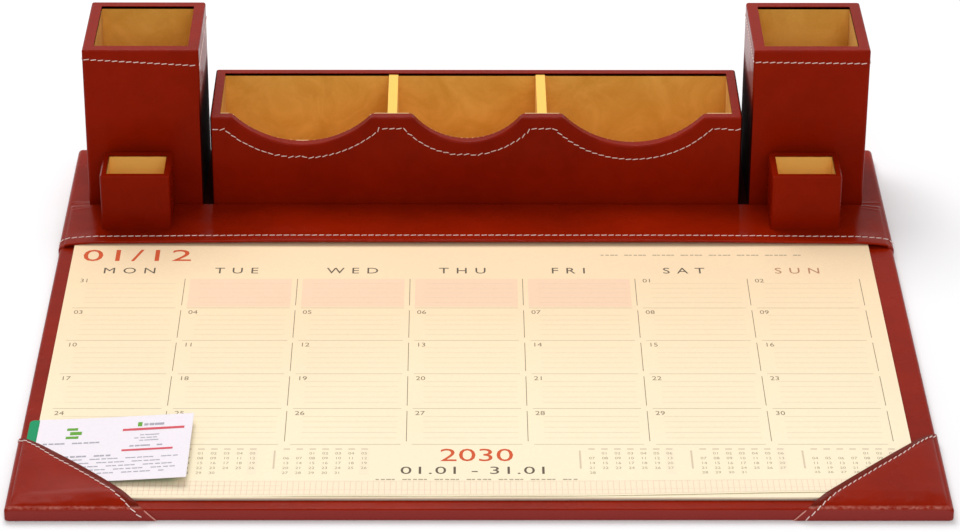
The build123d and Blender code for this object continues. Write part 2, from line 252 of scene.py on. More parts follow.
# ------------------------------------------------------------------ modelling helpers
def deselect():
    if bpy.context.object and bpy.context.object.mode != "OBJECT":
        bpy.ops.object.mode_set(mode="OBJECT")
    bpy.ops.object.select_all(action="DESELECT")


def choose(obj):
    """Makes one object the only selected and the active one."""
    deselect()
    obj.select_set(True)
    bpy.context.view_layer.objects.active = obj
    return obj


def named(name):
    obj = bpy.context.active_object
    obj.name = name
    obj.data.name = name
    return obj


def settle():
    bpy.ops.object.transform_apply(location=True, rotation=True, scale=True)


def add_modifier(obj, kind, **settings):
    """Adds a modifier to an object and applies it."""
    choose(obj)
    modifier = obj.modifiers.new(kind.title(), kind)
    for key, value in settings.items():
        setattr(modifier, key, value)
    bpy.ops.object.modifier_apply(modifier=modifier.name)


def smooth(obj, degrees=35):
    choose(obj)
    bpy.ops.object.shade_smooth_by_angle(angle=math.radians(degrees))


def dress(obj, material, body, slot, *replaced):
    """Gives a finished piece its material and its body, and hides the boards that it replaces; the
    slot is not used.
    """
    obj.data.materials.clear()
    obj.data.materials.append(material)
    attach(obj, body)
    if replaced:
        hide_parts(*replaced)
    return obj


def copies(master, places, name):
    """Joins copies of a master, one at each matrix, under a new name."""
    made = []
    for place in places:
        one = master.copy()
        one.data = master.data.copy()
        one.matrix_world = place
        bpy.context.collection.objects.link(one)
        made.append(one)
    deselect()
    for one in made:
        one.select_set(True)
    bpy.context.view_layer.objects.active = made[0]
    bpy.ops.object.join()
    settle()
    bpy.data.objects.remove(master)
    return named(name)


def join(objects, name):
    deselect()
    for one in objects:
        one.select_set(True)
    bpy.context.view_layer.objects.active = objects[0]
    if len(objects) > 1:
        bpy.ops.object.join()
    settle()
    return named(name)


def flat_sheet(name, x_lines, y_lines):
    """A flat sheet with an edge along each given line."""
    deselect()
    across, along = len(x_lines) - 1, len(y_lines) - 1
    bpy.ops.mesh.primitive_grid_add(x_subdivisions=across, y_subdivisions=along, size=2)
    obj = named(name)
    for vertex in obj.data.vertices:
        column = round((vertex.co.x + 1) / 2 * across)
        row = round((vertex.co.y + 1) / 2 * along)
        vertex.co = (x_lines[column], y_lines[row], 0)
    return obj


def cut(obj, normal, distances, clear=False):
    """Cuts a flat sheet along lines at these distances from the origin."""
    length = math.hypot(*normal)
    nx, ny = normal[0] / length, normal[1] / length
    choose(obj)
    bpy.ops.object.mode_set(mode="EDIT")
    for distance in distances:
        bpy.ops.mesh.select_all(action="SELECT")
        bpy.ops.mesh.bisect(
            plane_co=(nx * distance, ny * distance, 0),
            plane_no=(nx, ny, 0),
            clear_outer=clear,
            threshold=1e-7,
        )
    bpy.ops.object.mode_set(mode="OBJECT")


def shape(obj, place):
    """Moves every point of a flat sheet to place(x, y)."""
    for vertex in obj.data.vertices:
        vertex.co = place(vertex.co.x, vertex.co.y)
    obj.data.update()


def thicken(obj, thickness):
    """Gives a sheet its thickness, on the inner side."""
    add_modifier(obj, "SOLIDIFY", thickness=thickness, offset=-1, use_even_offset=False)


def steps(start, end, pitch):
    """Evenly spaced values from start to end, at most pitch apart."""
    count = max(1, math.ceil(abs(end - start) / pitch))
    return [start + (end - start) * i / count for i in range(count + 1)]


def lines(*runs):
    """Lines through several runs of (end, pitch), each starting where the last ended."""
    made = [runs[0]]
    for end, pitch in runs[1:]:
        made += steps(made[-1], end, pitch)[1:]
    return made


def hump(value, middle, width):
    """1 at the middle, falling away within a few widths."""
    return math.exp(-(((value - middle) / width) ** 2))


def wobble(x, y, scale, seed=0.0):
    """An unevenness from -1 to 1."""
    return noise.noise(Vector((x * scale, y * scale, seed)))


def ease(value, start, end):
    """Smoothly from 0 at start to 1 at end."""
    t = min(1, max(0, (value - start) / (end - start)))
    return t * t * (3 - 2 * t)


def over_edge(x, y, radius, top, floor):
    """Where leather lies that covers the base: flat on it, round its edges and down its
    sides.  x and y are measured along the leather, and top gives its height."""
    quarter = radius * math.pi / 2
    ax = max(abs(x) - (BASE_HALF_X - radius), 0)
    ay = max(abs(y) - (BASE_HALF_Y - radius), 0)
    run = max(ax, ay)
    if run <= 0:
        return Vector((x, y, top(x, y)))
    length = math.hypot(ax, ay)
    dx = math.copysign(ax / length, x) if ax else 0
    dy = math.copysign(ay / length, y) if ay else 0
    cx = math.copysign(min(abs(x), BASE_HALF_X - radius), x)
    cy = math.copysign(min(abs(y), BASE_HALF_Y - radius), y)
    crown = top(cx, cy)
    angle = min(run / radius, math.pi / 2)
    out = radius * math.sin(angle)
    z = crown - radius + radius * math.cos(angle)
    if run > quarter:
        z = max(crown - radius - (run - quarter), floor)
    return Vector((cx + dx * out, cy + dy * out, z))


def side_drop(radius, floor):
    """How much leather goes round an edge of the deck and down to the floor height."""
    return radius * math.pi / 2 + DECK_TOP - radius - floor


def surface_normal(place, x, y, step=0.2 * MM):
    """The outward direction of a surface at one of its points."""
    along_x = place(x + step, y) - place(x - step, y)
    along_y = place(x, y + step) - place(x, y - step)
    return along_x.cross(along_y).normalized()


def sew(values, seam, name, body):
    """Stitches along a seam, given as a list of (point, outward direction)."""
    thread = values.thread
    deselect()
    bpy.ops.mesh.primitive_uv_sphere_add(segments=6, ring_count=5, radius=thread.radius)
    master = named("stitch")
    reach = thread.length / 2 - thread.radius
    for vertex in master.data.vertices:
        vertex.co.z += math.copysign(reach, vertex.co.z) if abs(vertex.co.z) > 0.05 * MM else 0
    choose(master)
    bpy.ops.object.shade_smooth()
    places, walked, due = [], 0.0, thread.pitch / 2
    for (start, out), (end, _) in zip(seam, seam[1:]):
        step = (end - start).length
        while walked + step >= due:
            point = start.lerp(end, (due - walked) / step)
            along = (end - start).normalized()
            turned = Matrix.Rotation(thread.slant, 3, out) @ along
            side = out.cross(turned).normalized()
            frame_of = Matrix((side, turned.cross(side), turned)).transposed().to_4x4()
            frame_of.translation = point + out * thread.radius * 0.35
            places.append(frame_of)
            due += thread.pitch
        walked += step
    made = copies(master, places, name)
    return dress(made, thread_material(values), body, None)


# ------------------------------------------------------------------ node groups
def new_group(name, inputs, outputs):
    """A shader node group; inputs are (name, kind, default)."""
    group = bpy.data.node_groups.new(name, "ShaderNodeTree")
    for label, kind, default in inputs:
        socket = group.interface.new_socket(label, in_out="INPUT", socket_type=f"NodeSocket{kind}")
        if default is not None:
            socket.default_value = default
    for label, kind in outputs:
        group.interface.new_socket(label, in_out="OUTPUT", socket_type=f"NodeSocket{kind}")
    return group, group.nodes.new("NodeGroupInput"), group.nodes.new("NodeGroupOutput")


def link(tree, source, target):
    tree.links.new(source, target)


def add_node(tree, kind, **settings):
    node = tree.nodes.new(f"ShaderNode{kind}")
    for key, value in settings.items():
        if key in node.inputs:
            node.inputs[key].default_value = value
        else:
            setattr(node, key, value)
    return node


def math_node(tree, operation, first, second=None, clamp=False):
    node = add_node(tree, "Math", operation=operation, use_clamp=clamp)
    for socket, value in zip(node.inputs, (first, second)):
        if value is None:
            continue
        if isinstance(value, (int, float)):
            socket.default_value = value
        else:
            link(tree, value, socket)
    return node.outputs[0]


def blend_colours(tree, factor, first, second, mode="MIX"):
    node = tree.nodes.new("ShaderNodeMix")
    node.data_type = "RGBA"
    node.blend_type = mode
    for index, value in ((0, factor), (6, first), (7, second)):
        socket = node.inputs[index]
        if isinstance(value, (int, float)):
            socket.default_value = value
        elif isinstance(value, tuple):
            socket.default_value = (*value, 1)
        else:
            link(tree, value, socket)
    return node.outputs[2]


def fit_range(tree, value, low, high, to_low=0.0, to_high=1.0):
    node = add_node(tree, "MapRange", interpolation_type="SMOOTHSTEP")
    link(tree, value, node.inputs["Value"])
    limits = {"From Min": low, "From Max": high, "To Min": to_low, "To Max": to_high}
    for key, number in limits.items():
        node.inputs[key].default_value = number
    return node.outputs["Result"]


def grain_group():
    """Fine pebbled grain with shallow wrinkles: a height for a bump."""
    tree, given, out = new_group(
        "Leather grain",
        [("Place", "Vector", None), ("Scale", "Float", 900.0), ("Wrinkle", "Float", 0.5)],
        [("Height", "Float"), ("Dullness", "Float")],
    )
    cells = add_node(tree, "TexVoronoi", feature="DISTANCE_TO_EDGE", Randomness=0.9)
    link(tree, given.outputs["Place"], cells.inputs["Vector"])
    link(tree, given.outputs["Scale"], cells.inputs["Scale"])
    pebble = math_node(
        tree, "MULTIPLY", fit_range(tree, cells.outputs["Distance"], 0.0, 0.28), 0.25
    )
    folds = add_node(tree, "TexNoise", Scale=70.0, Detail=4.0, Roughness=0.6, Distortion=1.4)
    link(tree, given.outputs["Place"], folds.inputs["Vector"])
    fold = math_node(tree, "MULTIPLY", folds.outputs[0], given.outputs["Wrinkle"])
    link(tree, math_node(tree, "ADD", pebble, fold), out.inputs[0])
    smears = add_node(tree, "TexNoise", Scale=22.0, Detail=3.0, Roughness=0.55)
    link(tree, given.outputs["Place"], smears.inputs["Vector"])
    link(tree, fit_range(tree, smears.outputs[0], 0.35, 0.7), out.inputs[1])
    return tree


def cloud_group():
    """Two colours mixed in soft clouds of two sizes."""
    tree, given, out = new_group(
        "Cloudy colour",
        [
            ("Place", "Vector", None),
            ("Light", "Color", (1, 1, 1, 1)),
            ("Dark", "Color", (0, 0, 0, 1)),
            ("Scale", "Float", 12.0),
            ("Amount", "Float", 0.6),
        ],
        [("Colour", "Color")],
    )
    large = add_node(tree, "TexNoise", Detail=2.0, Roughness=0.5, Distortion=0.6)
    small = add_node(tree, "TexNoise", Detail=4.0, Roughness=0.6)
    link(tree, given.outputs["Place"], large.inputs["Vector"])
    link(tree, given.outputs["Place"], small.inputs["Vector"])
    link(tree, given.outputs["Scale"], large.inputs["Scale"])
    link(tree, math_node(tree, "MULTIPLY", given.outputs["Scale"], 9.0), small.inputs["Scale"])
    mixed = math_node(
        tree, "ADD",
        math_node(tree, "MULTIPLY", fit_range(tree, large.outputs[0], 0.3, 0.7), 0.7),
        math_node(tree, "MULTIPLY", fit_range(tree, small.outputs[0], 0.35, 0.7), 0.3),
    )
    factor = math_node(tree, "MULTIPLY", mixed, given.outputs["Amount"], clamp=True)
    result = blend_colours(tree, factor, given.outputs["Light"], given.outputs["Dark"])
    link(tree, result, out.inputs[0])
    return tree


def nap_group():
    """Short brushed fibres: streaks, mottling and a height."""
    tree, given, out = new_group(
        "Suede nap",
        [
            ("Place", "Vector", None),
            ("Deep", "Color", (0, 0, 0, 1)),
            ("Brushed", "Color", (1, 1, 1, 1)),
        ],
        [("Colour", "Color"), ("Height", "Float")],
    )
    fibres = add_node(tree, "TexNoise", Scale=1400.0, Detail=2.0, Roughness=0.7)
    strokes = add_node(tree, "TexNoise", Scale=38.0, Detail=5.0, Roughness=0.65, Distortion=0.8)
    for texture in (fibres, strokes):
        link(tree, given.outputs["Place"], texture.inputs["Vector"])
    mixed = math_node(
        tree, "ADD",
        math_node(tree, "MULTIPLY", fit_range(tree, strokes.outputs[0], 0.3, 0.72), 0.75),
        math_node(tree, "MULTIPLY", fibres.outputs[0], 0.3),
        clamp=True,
    )
    result = blend_colours(tree, mixed, given.outputs["Deep"], given.outputs["Brushed"])
    link(tree, result, out.inputs[0])
    link(tree, fibres.outputs[0], out.inputs[1])
    return tree


def fibre_group():
    """Paper: faint fibres and a slight unevenness."""
    tree, given, out = new_group(
        "Paper fibre", [("Place", "Vector", None)], [("Tone", "Float"), ("Height", "Float")]
    )
    fibres = add_node(tree, "TexNoise", Scale=600.0, Detail=3.0, Roughness=0.6)
    waves = add_node(tree, "TexNoise", Scale=7.0, Detail=1.0)
    for texture in (fibres, waves):
        link(tree, given.outputs["Place"], texture.inputs["Vector"])
    tone = math_node(
        tree, "ADD",
        fit_range(tree, fibres.outputs[0], 0.3, 0.7, 0.0, 0.03),
        fit_range(tree, waves.outputs[0], 0.3, 0.7, 0.94, 0.97),
    )
    link(tree, tone, out.inputs[0])
    link(tree, fibres.outputs[0], out.inputs[1])
    return tree


def twist_group():
    """The turns of a sewing thread: a height, and a tone that is darker in the grooves between
    them, a painted shade.
    """
    tree, given, out = new_group(
        "Thread twist", [("Place", "Vector", None)], [("Height", "Float"), ("Tone", "Float")]
    )
    turns = add_node(tree, "TexWave", Scale=900.0, Distortion=1.5, bands_direction="DIAGONAL")
    link(tree, given.outputs["Place"], turns.inputs["Vector"])
    link(tree, turns.outputs[1], out.inputs[0])
    # painted shade: the thread is darkened in the grooves between its turns
    link(tree, fit_range(tree, turns.outputs[1], 0.0, 1.0, 0.86, 1.0), out.inputs[1])
    return tree


def ridge_highlight_group():
    """Painted highlight where leather goes over the front edge, at a given height: paler streaks
    that stand in for the light it catches.
    """
    tree, given, out = new_group(
        "Rubbed edge",
        [
            ("Place", "Vector", None),
            ("Height", "Float", 0.008),
            ("Reach", "Float", 0.0012),
            ("Front", "Float", -0.2),
            ("Amount", "Float", 0.5),
        ],
        [("Mask", "Float")],
    )
    split = tree.nodes.new("ShaderNodeSeparateXYZ")
    link(tree, given.outputs["Place"], split.inputs[0])
    off = math_node(
        tree, "ABSOLUTE", math_node(tree, "SUBTRACT", split.outputs[2], given.outputs["Height"])
    )
    near = math_node(
        tree, "SUBTRACT", 1.0, math_node(tree, "DIVIDE", off, given.outputs["Reach"]), clamp=True
    )
    highlight_streaks = add_node(tree, "TexNoise", Scale=420.0, Detail=5.0, Roughness=0.7)
    link(tree, given.outputs["Place"], highlight_streaks.inputs["Vector"])
    spots = fit_range(tree, highlight_streaks.outputs[0], 0.34, 0.7)
    ahead = math_node(tree, "LESS_THAN", split.outputs[1], given.outputs["Front"])
    mask = math_node(tree, "MULTIPLY", math_node(tree, "MULTIPLY", near, spots), ahead)
    mask = math_node(tree, "MULTIPLY", mask, given.outputs["Amount"])
    link(tree, mask, out.inputs[0])
    return tree


GROUPS = {}


def place_group(tree, name, **values):
    """Puts a node group into a material, on Object coordinates."""
    makers = {
        "grain": grain_group, "clouds": cloud_group, "nap": nap_group,
        "fibre": fibre_group, "twist": twist_group, "ridge_highlight": ridge_highlight_group,
    }
    if name not in GROUPS:
        GROUPS[name] = makers[name]()
    node = tree.nodes.new("ShaderNodeGroup")
    node.node_tree = GROUPS[name]
    coordinates = tree.nodes.new("ShaderNodeTexCoord")
    link(tree, coordinates.outputs["Object"], node.inputs["Place"])
    for key, value in values.items():
        node.inputs[key].default_value = (*value, 1) if hasattr(value, "__len__") else value
    return node


def object_place(tree):
    """The X, Y and Z of the shaded point."""
    coordinates = tree.nodes.new("ShaderNodeTexCoord")
    split = tree.nodes.new("ShaderNodeSeparateXYZ")
    link(tree, coordinates.outputs["Object"], split.inputs[0])
    return split.outputs


def bump(tree, height, strength, distance, shader):
    node = add_node(tree, "Bump", Strength=strength, Distance=distance)
    link(tree, height, node.inputs["Height"])
    link(tree, node.outputs[0], shader.inputs["Normal"])


MATERIALS = {}


def material(name, maker, *settings):
    """A material by name, made the first time that it is asked for."""
    if name not in MATERIALS:
        made = bpy.data.materials.new(name)
        made.use_nodes = True
        tree = made.node_tree
        tree.nodes.clear()
        shader = tree.nodes.new("ShaderNodeBsdfPrincipled")
        out = tree.nodes.new("ShaderNodeOutputMaterial")
        link(tree, shader.outputs[0], out.inputs[0])
        maker(tree, shader, *settings)
        MATERIALS[name] = made
    return MATERIALS[name]


def object_normal(tree):
    """The X, Y and Z of the direction that the shaded point faces."""
    coordinates = tree.nodes.new("ShaderNodeTexCoord")
    split = tree.nodes.new("ShaderNodeSeparateXYZ")
    link(tree, coordinates.outputs["Normal"], split.inputs[0])
    return split.outputs


def both(tree, first, second):
    return math_node(tree, "MULTIPLY", first, second)


def gap_shade_mask(tree, deck):
    """The narrow gaps between the boxes, where shade is painted: their walls, lower down, or the
    deck below.
    """
    x, y, z = object_place(tree)
    off = math_node(
        tree, "ABSOLUTE", math_node(tree, "SUBTRACT", math_node(tree, "ABSOLUTE", x), GAP_X)
    )
    inside = math_node(tree, "LESS_THAN", off, 3.6 * MM)
    if deck:
        behind = fit_range(tree, y, CREASE + 0.5 * MM, CREASE + 2.5 * MM)
        ahead = fit_range(tree, y, BASE_HALF_Y - 3 * MM, BASE_HALF_Y - 6 * MM)
        return both(tree, inside, both(tree, behind, ahead))
    sideways = fit_range(tree, math_node(tree, "ABSOLUTE", object_normal(tree)[0]), 0.2, 0.6)
    low = fit_range(tree, z, TRAY_TOP + 22 * MM, TRAY_TOP - 2 * MM)
    return both(tree, both(tree, sideways, inside), low)


def hem_shade_and_edge_masks(tree, leg, inset):
    """The folded band along a pocket's cut edge, where shade is painted darker, and the edge
    itself on the front.
    """
    x, y, z = object_place(tree)
    out = math_node(tree, "ABSOLUTE", x)
    across = math_node(tree, "SUBTRACT", out, y)
    from_cut = math_node(tree, "SUBTRACT", across, BASE_HALF_X + BASE_HALF_Y - leg)
    on_top = fit_range(tree, z, DECK_TOP - 0.6 * MM, DECK_TOP + 0.1 * MM)
    beside = math_node(tree, "SUBTRACT", BASE_HALF_X, out)
    width = (inset - 0.7 * MM) * math.sqrt(2)
    width = fit_range(tree, beside, -2 * MM, 26 * MM, 0.35 * width, width)
    past = math_node(tree, "SUBTRACT", from_cut, width)
    band = both(tree, fit_range(tree, past, 0.5 * MM, -0.3 * MM), on_top)
    down = math_node(tree, "SUBTRACT", out, math_node(tree, "ADD", z, 1.25 * MM - DECK_TOP))
    on_front = math_node(tree, "SUBTRACT", down, BASE_HALF_X - leg)
    line = both(
        tree,
        math_node(tree, "LESS_THAN", on_front, 0.75 * MM),
        math_node(tree, "LESS_THAN", z, DECK_TOP - 1.2 * MM),
    )
    return band, line


def leather_maker(tree, shader, values, wrinkle, highlight_amount, boxes, leg, inset):
    clouds = place_group(
        tree, "clouds", Light=values.tone, Dark=values.deep, Scale=9.0, Amount=0.55
    )
    grain = place_group(tree, "grain", Scale=1100.0, Wrinkle=wrinkle)
    tone = clouds.outputs["Colour"]
    if not boxes:
        tone = blend_colours(tree, 1.0, tone, (1.09, 1.2, 1.0), "MULTIPLY")
    dull = fit_range(
        tree, grain.outputs["Dullness"], 0, 1, values.roughness - 0.05, values.roughness + 0.07
    )
    # painted reflection: the faces of the base, flap and pockets that look forward below the deck
    # top are tinted greyer, as the floor's reflection makes them
    if not boxes:
        ahead = math_node(tree, "MULTIPLY", object_normal(tree)[1], -1)
        low = math_node(tree, "LESS_THAN", object_place(tree)[2], DECK_TOP)
        edge = both(tree, fit_range(tree, ahead, 0.6, 0.95), low)
        tone = blend_colours(tree, edge, tone, (0.255, 0.030, 0.025))
    if leg:
        band, line = hem_shade_and_edge_masks(tree, leg, inset)
        # painted shade: the band between a pocket's seam and its cut edge is darkened, where the
        # leather turns down away from the light
        tone = blend_colours(tree, band, tone, (0.140, 0.010, 0.003))
        tone = blend_colours(tree, line, tone, (0.62, 0.27, 0.22))
        # painted highlight: paler streaks along the pockets' front ridge, where the leather goes
        # over the base's front edge
        ridge_highlight = place_group(
            tree, "ridge_highlight", Height=DECK_TOP - 0.3 * MM, Reach=0.75 * MM,
            Front=3.4 * MM - BASE_HALF_Y, Amount=highlight_amount,
        )
        tone = blend_colours(tree, ridge_highlight.outputs["Mask"], tone, (0.62, 0.25, 0.20))
    else:
        # painted shade: the walls of the gaps between the boxes, lower down, and the deck between
        # them are darkened nearly to black, and made dull
        gap = gap_shade_mask(tree, not boxes)
        tone = blend_colours(tree, gap, tone, (0.02, 0.001, 0.0005))
        dull = math_node(tree, "MAXIMUM", dull, gap)
    link(tree, tone, shader.inputs["Base Color"])
    link(tree, dull, shader.inputs["Roughness"])
    shader.inputs["Specular IOR Level"].default_value = 0.05
    bump(tree, grain.outputs["Height"], 0.3, 0.0002, shader)


def suede_maker(tree, shader, deep, light):
    nap = place_group(tree, "nap", Deep=deep, Brushed=light)
    link(tree, nap.outputs["Colour"], shader.inputs["Base Color"])
    shader.inputs["Roughness"].default_value = 0.95
    shader.inputs["Specular IOR Level"].default_value = 0.05
    shader.inputs["Sheen Weight"].default_value = 0.04
    shader.inputs["Sheen Roughness"].default_value = 0.5
    bump(tree, nap.outputs["Height"], 0.4, 0.0003, shader)


def paper_maker(tree, shader, values):
    """The paper: peach at the back, cream at the front."""
    _, y, _ = object_place(tree)
    fibre = place_group(tree, "fibre")
    factor = fit_range(tree, y, PAD_FRONT, FLAP_FRONT)
    base = blend_colours(tree, factor, tuple(values.bottom), tuple(values.top))
    toned = blend_colours(tree, 1.0, base, fibre.outputs["Tone"], "MULTIPLY")
    link(tree, toned, shader.inputs["Base Color"])
    shader.inputs["Roughness"].default_value = 0.7
    shader.inputs["Specular IOR Level"].default_value = 0.25
    bump(tree, fibre.outputs["Height"], 0.15, 0.00005, shader)


def ink_maker(tree, shader, tone):
    fibre = place_group(tree, "fibre")
    toned = blend_colours(tree, 1.0, tuple(tone), fibre.outputs["Tone"], "MULTIPLY")
    link(tree, toned, shader.inputs["Base Color"])
    shader.inputs["Roughness"].default_value = 0.75
    shader.inputs["Specular IOR Level"].default_value = 0.2


def card_maker(tree, shader, tone):
    fibre = place_group(tree, "fibre")
    toned = blend_colours(tree, 1.0, tuple(tone), fibre.outputs["Tone"], "MULTIPLY")
    link(tree, toned, shader.inputs["Base Color"])
    shader.inputs["Roughness"].default_value = 0.55
    shader.inputs["Specular IOR Level"].default_value = 0.12
    bump(tree, fibre.outputs["Height"], 0.1, 0.00005, shader)


def thread_maker(tree, shader, tone):
    twist = place_group(tree, "twist")
    toned = blend_colours(tree, 1.0, tuple(tone), twist.outputs["Tone"], "MULTIPLY")
    link(tree, toned, shader.inputs["Base Color"])
    shader.inputs["Roughness"].default_value = 0.6
    bump(tree, twist.outputs["Height"], 0.5, 0.0002, shader)


def board_maker(tree, shader, tone):
    clouds = place_group(
        tree, "clouds", Light=tone, Dark=tuple(c * 0.7 for c in tone), Scale=60.0, Amount=0.8
    )
    link(tree, clouds.outputs["Colour"], shader.inputs["Base Color"])
    shader.inputs["Roughness"].default_value = 0.85


def felt_maker(tree, shader, tone):
    nap = place_group(tree, "nap", Deep=tuple(c * 0.8 for c in tone), Brushed=tone)
    link(tree, nap.outputs["Colour"], shader.inputs["Base Color"])
    shader.inputs["Roughness"].default_value = 0.95
    bump(tree, nap.outputs["Height"], 0.5, 0.0003, shader)


def leather(values, kind="smooth"):
    """The covering leather: on the boxes, on the base, folded over it, or of a pocket."""
    wrinkle, highlight_amount, boxes, side = LEATHER_KINDS[kind]
    return material(
        f"leather_{kind}", leather_maker, values.leather, wrinkle, highlight_amount, boxes,
        LEG.get(side), values.thread.pocket_inset,
    )


def thread_material(values):
    return material("thread", thread_maker, tuple(values.thread.tone))


def ink(values, kind):
    """The ink of one kind of print, named as its setting."""
    return material(f"ink_{kind}", ink_maker, tuple(getattr(values.paper, kind)))


def suede(values):
    return material(
        "suede", suede_maker, tuple(values.suede.tone), tuple(values.suede.light)
    )


def repaint(node, made):
    """Gives a board its material."""
    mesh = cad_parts[node].data
    for index in range(len(mesh.materials)):
        mesh.materials[index] = made
    if not mesh.materials:
        mesh.materials.append(made)


# ------------------------------------------------------------------ operators
class DeskSetStage(bpy.types.Operator):
    """Makes the floor, the lamps, the sky and the camera"""

    bl_idname = "desk_set.stage"
    bl_label = "Stage"

    def execute(self, context):
        values = context.scene.desk_set.stage
        self.floor()
        self.sky(values)
        self.lamps(values)
        self.camera(values)
        settings = context.scene.view_settings
        settings.view_transform = "Standard"
        return {"FINISHED"}

    def floor(self):
        deselect()
        bpy.ops.mesh.primitive_plane_add(size=14, location=(0, 2, 0))
        obj = named("floor")
        settle()
        made = bpy.data.materials.new("floor_white")
        made.use_nodes = True
        tree = made.node_tree
        tree.nodes.clear()
        diffuse = add_node(tree, "BsdfDiffuse", Color=(0.96, 0.96, 0.97, 1))
        glow = add_node(tree, "Emission", Strength=1.0)
        mixed = tree.nodes.new("ShaderNodeMixShader")
        out = tree.nodes.new("ShaderNodeOutputMaterial")
        path = tree.nodes.new("ShaderNodeLightPath")
        seen = math_node(
            tree, "ADD", path.outputs["Is Camera Ray"], path.outputs["Is Glossy Ray"]
        )
        seen = math_node(tree, "ADD", seen, path.outputs["Is Transmission Ray"], clamp=True)
        link(tree, math_node(tree, "MULTIPLY", seen, 0.1), mixed.inputs[0])
        link(tree, diffuse.outputs[0], mixed.inputs[1])
        link(tree, glow.outputs[0], mixed.inputs[2])
        link(tree, mixed.outputs[0], out.inputs[0])
        obj.data.materials.append(made)

    def sky(self, values):
        world = bpy.data.worlds.new("white_studio")
        bpy.context.scene.world = world
        world.use_nodes = True
        tree = world.node_tree
        tree.nodes.clear()
        light = add_node(tree, "Background", Strength=values.sky)
        seen = add_node(tree, "Background", Strength=1.0)
        light.inputs["Color"].default_value = (1, 1, 1, 1)
        seen.inputs["Color"].default_value = (1, 1, 1, 1)
        mixed = tree.nodes.new("ShaderNodeMixShader")
        out = tree.nodes.new("ShaderNodeOutputWorld")
        path = tree.nodes.new("ShaderNodeLightPath")
        factor = math_node(
            tree, "ADD", path.outputs["Is Camera Ray"], path.outputs["Is Glossy Ray"]
        )
        factor = math_node(tree, "ADD", factor, path.outputs["Is Transmission Ray"], clamp=True)
        link(tree, factor, mixed.inputs[0])
        link(tree, light.outputs[0], mixed.inputs[1])
        link(tree, seen.outputs[0], mixed.inputs[2])
        link(tree, mixed.outputs[0], out.inputs[0])

    def lamps(self, values):
        for name, power, place, width in (
            ("lamp_over", values.key, (-0.3, 1.0, 1.7), 1.2),
            ("lamp_front", values.fill, (0.2, -1.7, 1.2), 1.2),
        ):
            deselect()
            bpy.ops.object.light_add(type="AREA", location=place)
            lamp = named(name)
            lamp.data.energy = power
            lamp.data.size = width
            aim = Vector((0, 0, 0.03)) - lamp.location
            lamp.rotation_euler = aim.to_track_quat("-Z", "Y").to_euler()

    def camera(self, values):
        deselect()
        bpy.ops.object.camera_add(location=values.camera_place)
        camera = named("camera")
        forward = Vector(
            (
                math.sin(values.yaw) * math.cos(values.pitch),
                math.cos(values.yaw) * math.cos(values.pitch),
                -math.sin(values.pitch),
            )
        )
        level = forward.cross(Vector((0, 0, 1))).normalized()
        upright = level.cross(forward)
        right = level * math.cos(values.roll) + upright * math.sin(values.roll)
        up = right.cross(forward)
        turned = Matrix((right, up, -forward)).transposed()
        camera.rotation_euler = turned.to_euler()
        camera.data.lens = values.lens
        camera.data.clip_end = 50
        bpy.context.scene.camera = camera


class DeskSetBoards(bpy.types.Operator):
    """Gives the boards, the lining under the base and the plain covers their finish"""

    bl_idname = "desk_set.boards"
    bl_label = "Boards and base"

    def execute(self, context):
        values = context.scene.desk_set
        board = material("fibreboard", board_maker, (0.42, 0.27, 0.14))
        grey = material("greyboard", board_maker, (0.42, 0.38, 0.32))
        felt = material("underside_felt", felt_maker, (0.62, 0.42, 0.26))
        gum = material("gum", ink_maker, (0.60, 0.12, 0.08))
        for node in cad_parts:
            in_clip_cup = node.startswith("clip_cup")
            if node.endswith("_panel") or node.endswith("_board"):
                repaint(node, board)
            # painted light: the suede pieces and the clip cups' linings get the lighter copy of
            # the suede
            elif node.endswith("_suede") or (in_clip_cup and node.endswith("_lining")):
                bright = tuple(values.suede.bright)
                repaint(node, material("suede_bright", suede_maker, bright, bright))
            elif node.endswith("_lining"):
                repaint(node, suede(values))
            elif node.endswith("_cover"):
                repaint(node, leather(values))
        repaint("base_cover", leather(values, "base"))
        repaint("base_lining", felt)
        repaint("flap_backing", grey)
        repaint("planner_backing", grey)
        repaint("planner_gum_edge", gum)
        repaint("planner_sheets", material("paper", paper_maker, values.paper))
        return {"FINISHED"}


def flap_height(values, x, y):
    """Height of the flap's upper side: on the deck, then up over the pad."""
    ahead, beside, wide = y - FLAP_FRONT, BASE_HALF_X - abs(x), abs(x)
    puff = values.leather.puff * (1 - 0.62 * ease(wide, 110 * MM, BASE_HALF_X))
    puff *= 1 - ease(ahead, 3 * MM, 17.8 * MM)
    seam = 0.25 * MM * hump(ahead, values.thread.flap_inset, 0.9 * MM)
    slack = 0.12 * MM * (1 - wobble(x, y, 55)) / 2
    droop = min(max((beside - 2.9 * MM) / (22 * MM - 2.9 * MM), 0), 1) ** 0.35
    onto = (1 - ease(y, CREASE - 3.2 * MM, CREASE - 0.1 * MM)) * droop
    height = DECK_TOP + (FLAP_TOP - DECK_TOP + puff - seam - slack) * onto
    free = ease(wide, 229.5 * MM, 234 * MM) * ease(beside, 2.9 * MM, 5 * MM)
    rolls = hump(y, CREASE - 4.6 * MM, 0.8 * MM) + hump(y, CREASE + 3.9 * MM, 0.9 * MM)
    slanted = hump(y + 0.16 * (wide - BASE_HALF_X), CREASE - 9.5 * MM, 0.9 * MM)
    return height + free * (0.32 * rolls + 0.18 * slanted) * MM


def flap_place(values, x, y):
    """Where a point of the flap's leather lies, its free edge turned under."""
    given = values.leather
    front = FLAP_FRONT + given.hem_radius

    def laid(u, v):
        return over_edge(
            u, v, given.edge_radius, lambda p, q: flap_height(values, p, q), given.hang
        )

    if y >= front:
        return laid(x, y)
    outward = surface_normal(laid, x, front)
    angle = min((front - y) / given.hem_radius, math.pi)
    point = laid(x, front) + outward * given.hem_radius * (math.cos(angle) - 1)
    point.y -= given.hem_radius * math.sin(angle)
    point.y += max(front - y - math.pi * given.hem_radius, 0)
    return point


